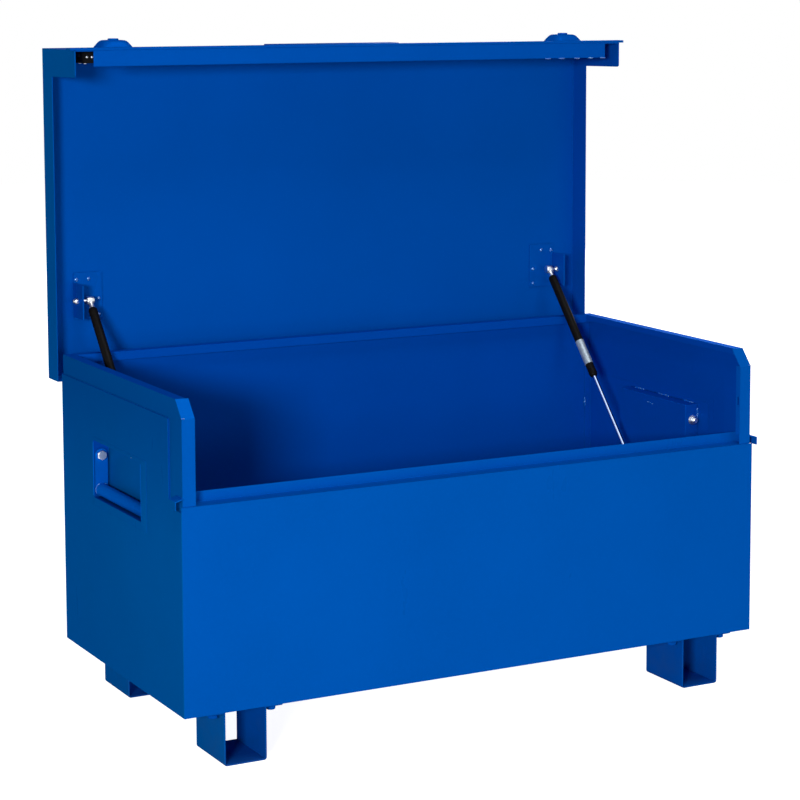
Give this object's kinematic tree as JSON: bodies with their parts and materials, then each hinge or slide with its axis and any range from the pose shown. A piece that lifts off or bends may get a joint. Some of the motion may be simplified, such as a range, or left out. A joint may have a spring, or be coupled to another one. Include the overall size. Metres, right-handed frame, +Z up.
{
  "type": "jobsite storage box",
  "caption": "Steel site storage box with a strutted lid held open, set-in ears, drop handles in side recesses, key locks with side-throwing bolts and open channel feet.",
  "frame": {"origin": "centre of the footprint of the whole part with its lid open, at the ground", "axes": "+X to the right seen from the front, -Y towards the front, +Z up"},
  "size_m": [1.244, 0.688, 1.2845],
  "materials": {
    "blue_paint": "glossy powder coat",
    "foot_paint": "glossy powder coat",
    "bracket_paint": "satin powder coat",
    "black_paint": "satin black",
    "zinc_steel": "bright zinc plate",
    "bright_steel": "ground steel",
    "chrome_rod": "polished",
    "silver_label": "satin foil, blank"
  },
  "bodies": {
    "box": {"ear_left": "blue_paint", "ear_right": "blue_paint", "floor_panel": "blue_paint", "foot_bolts": "zinc_steel", "foot_front_left": "foot_paint", "foot_front_right": "foot_paint", "foot_nuts": "zinc_steel", "foot_rear_left": "foot_paint", "foot_rear_right": "foot_paint", "front_wall": "blue_paint", "handle_bolts": "zinc_steel", "handle_nuts": "zinc_steel", "handle_recess_left": "blue_paint", "handle_recess_right": "blue_paint", "hinge_body_leaves": "blue_paint", "hinge_pins": "zinc_steel", "mount_stud_left": "zinc_steel", "mount_stud_right": "zinc_steel", "rear_wall": "blue_paint", "side_left": "blue_paint", "side_right": "blue_paint", "side_tab_left": "blue_paint", "side_tab_right": "blue_paint", "strut_mount_left": "bracket_paint", "strut_mount_right": "bracket_paint"},
    "lid": {"lid_top": "blue_paint", "lid_skirt": "blue_paint", "lid_edge_strip": "blue_paint", "blank_plate": "blue_paint", "lock_cover_left": "blue_paint", "lock_cover_right": "blue_paint", "lock_case_left": "black_paint", "lock_case_right": "black_paint", "lock_screws": "zinc_steel", "lock_end_screws": "zinc_steel", "lid_bracket_left": "bracket_paint", "lid_bracket_right": "bracket_paint", "ball_stud_left": "zinc_steel", "ball_stud_right": "zinc_steel", "lid_rivets": "zinc_steel", "hinge_lid_leaves": "blue_paint"},
    "strut_tube_left": {"strut_tube_left": "black_paint", "strut_label_left": "silver_label"},
    "strut_rod_left": {"strut_rod_left": "chrome_rod"},
    "handle_left": {"handle_left": "blue_paint"},
    "lock_plug_left": {"lock_plug_left": "bright_steel"},
    "lock_bolt_left": {"lock_bolt_left": "bright_steel"},
    "strut_tube_right": {"strut_tube_right": "black_paint", "strut_label_right": "silver_label"},
    "strut_rod_right": {"strut_rod_right": "chrome_rod"},
    "handle_right": {"handle_right": "blue_paint"},
    "lock_plug_right": {"lock_plug_right": "bright_steel"},
    "lock_bolt_right": {"lock_bolt_right": "bright_steel"}
  },
  "joints": [
    {"name": "lid_hinge", "type": "hinge", "parent": "box", "child": "lid", "pos_m": [0, 0.289, 0.631], "axis": [1, 0, 0], "range_deg": [0, 90]},
    {"name": "strut_tube_left_pivot", "type": "hinge", "parent": "lid", "child": "strut_tube_left", "pos_m": [-0.5313, 0.315, 0.764], "axis": [1, 0, 0], "range_deg": [-80.5, 0]},
    {"name": "strut_rod_left_slide", "type": "slide", "parent": "strut_tube_left", "child": "strut_rod_left", "axis": [0, 0.6718, 0.7407], "range_m": [0, 0.18]},
    {"name": "handle_left_hinge", "type": "hinge", "parent": "box", "child": "handle_left", "pos_m": [-0.596, -0.04, 0.498], "axis": [0, 1, 0], "range_deg": [-2, 100]},
    {"name": "lock_plug_left_turn", "type": "hinge", "parent": "lid", "child": "lock_plug_left", "pos_m": [-0.508, 0.224, 1.264], "axis": [0, 0, 1], "range_deg": [0, 90]},
    {"name": "lock_bolt_left_slide", "type": "slide", "parent": "lid", "child": "lock_bolt_left", "axis": [-1, 0, 0], "range_m": [0, 0.016]},
    {"name": "strut_tube_right_pivot", "type": "hinge", "parent": "lid", "child": "strut_tube_right", "pos_m": [0.5313, 0.315, 0.764], "axis": [1, 0, 0], "range_deg": [-80.5, 0]},
    {"name": "strut_rod_right_slide", "type": "slide", "parent": "strut_tube_right", "child": "strut_rod_right", "axis": [0, 0.6718, 0.7407], "range_m": [0, 0.18]},
    {"name": "handle_right_hinge", "type": "hinge", "parent": "box", "child": "handle_right", "pos_m": [0.596, -0.04, 0.498], "axis": [0, -1, 0], "range_deg": [-2, 100]},
    {"name": "lock_plug_right_turn", "type": "hinge", "parent": "lid", "child": "lock_plug_right", "pos_m": [0.508, 0.224, 1.264], "axis": [0, 0, 1], "range_deg": [0, 90]},
    {"name": "lock_bolt_right_slide", "type": "slide", "parent": "lid", "child": "lock_bolt_right", "axis": [1, 0, 0], "range_m": [0, 0.016]}
  ],
  "couplings": [
    {"joint": "strut_tube_left_pivot", "follows": "lid_hinge", "ratio": -0.8788},
    {"joint": "strut_rod_left_slide", "follows": "lid_hinge", "m_per_rad": 0.1119},
    {"joint": "lock_plug_left_turn", "follows": "lock_bolt_left_slide", "rad_per_m": 98.1},
    {"joint": "strut_tube_right_pivot", "follows": "lid_hinge", "ratio": -0.8788},
    {"joint": "strut_rod_right_slide", "follows": "lid_hinge", "m_per_rad": 0.1119},
    {"joint": "lock_plug_right_turn", "follows": "lock_bolt_right_slide", "rad_per_m": 98.1}
  ]
}
